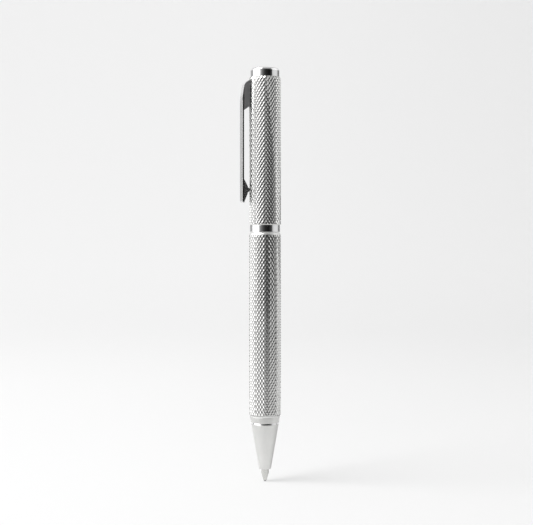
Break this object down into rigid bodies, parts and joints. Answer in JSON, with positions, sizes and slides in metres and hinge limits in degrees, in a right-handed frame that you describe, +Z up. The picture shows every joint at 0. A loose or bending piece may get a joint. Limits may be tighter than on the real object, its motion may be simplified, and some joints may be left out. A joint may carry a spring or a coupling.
{
  "type": "twist ballpoint pen",
  "caption": "Slim metal twist ballpoint pen with diamond-knurled barrels, polished end cap and centre ring, a sprung channel clip and a satin nose cone.",
  "frame": {"origin": "lowest point of the writing ball, on the pen's axis, with the point out", "axes": "+Z up the pen's axis to the end cap; -X from the axis to the clip; +Y by the right-hand rule"},
  "size_m": [0.0132, 0.0104, 0.1351],
  "materials": {
    "knurled_metal": "diamond knurl, plated",
    "polished_metal": "polished",
    "satin_metal": "satin",
    "clip_metal": "polished sheet",
    "brass": "turned",
    "mechanism_metal": "nickel-washed",
    "spring_steel": "bright wire",
    "rubber": "smooth",
    "white_plastic": "moulded",
    "refill_metal": "drawn tube",
    "refill_plastic": "moulded",
    "point_metal": "turned nickel silver",
    "carbide": "ground ball"
  },
  "bodies": {
    "lower_body": {"lower_barrel": "knurled_metal", "nose_collar": "satin_metal", "nose_ring": "polished_metal", "nose_cone": "satin_metal", "nose_bush": "brass", "coupler_bush": "brass", "coupler": "mechanism_metal", "centre_ring": "polished_metal", "friction_ring": "rubber", "thrust_washer": "white_plastic", "retaining_ring": "spring_steel", "refill_spring": "spring_steel"},
    "upper_body": {"upper_barrel": "knurled_metal", "upper_liner": "brass", "cam_sleeve": "mechanism_metal", "clip_anchor": "brass", "end_cap": "polished_metal"},
    "clip_body": {"clip": "clip_metal"},
    "refill": {"plunger": "white_plastic", "cam_pin": "spring_steel", "refill_tube": "refill_metal", "refill_plug": "refill_plastic", "refill_point": "point_metal"},
    "ball": {"writing_ball": "carbide"}
  },
  "joints": [
    {"name": "cap_twist", "type": "hinge", "parent": "lower_body", "child": "upper_body", "pos_m": [0, 0, 0.0837], "axis": [0, 0, 1], "range_deg": [0, 180]},
    {"name": "refill_slide", "type": "slide", "parent": "lower_body", "child": "refill", "axis": [0, 0, 1], "range_m": [0, 0.0052], "deforming": ["refill_spring"]},
    {"name": "clip_flex", "type": "hinge", "parent": "upper_body", "child": "clip_body", "pos_m": [-0.0052, 0, 0.1303], "axis": [0, 1, 0], "range_deg": [0, 3], "stiffness_Nm_per_rad": 1},
    {"name": "ball_roll", "type": "hinge", "parent": "refill", "child": "ball", "pos_m": [0, 0, 0.0005], "axis": [1, 0, 0], "continuous": true}
  ],
  "couplings": [
    {"joint": "cap_twist", "follows": "refill_slide", "rad_per_m": 604.15}
  ]
}
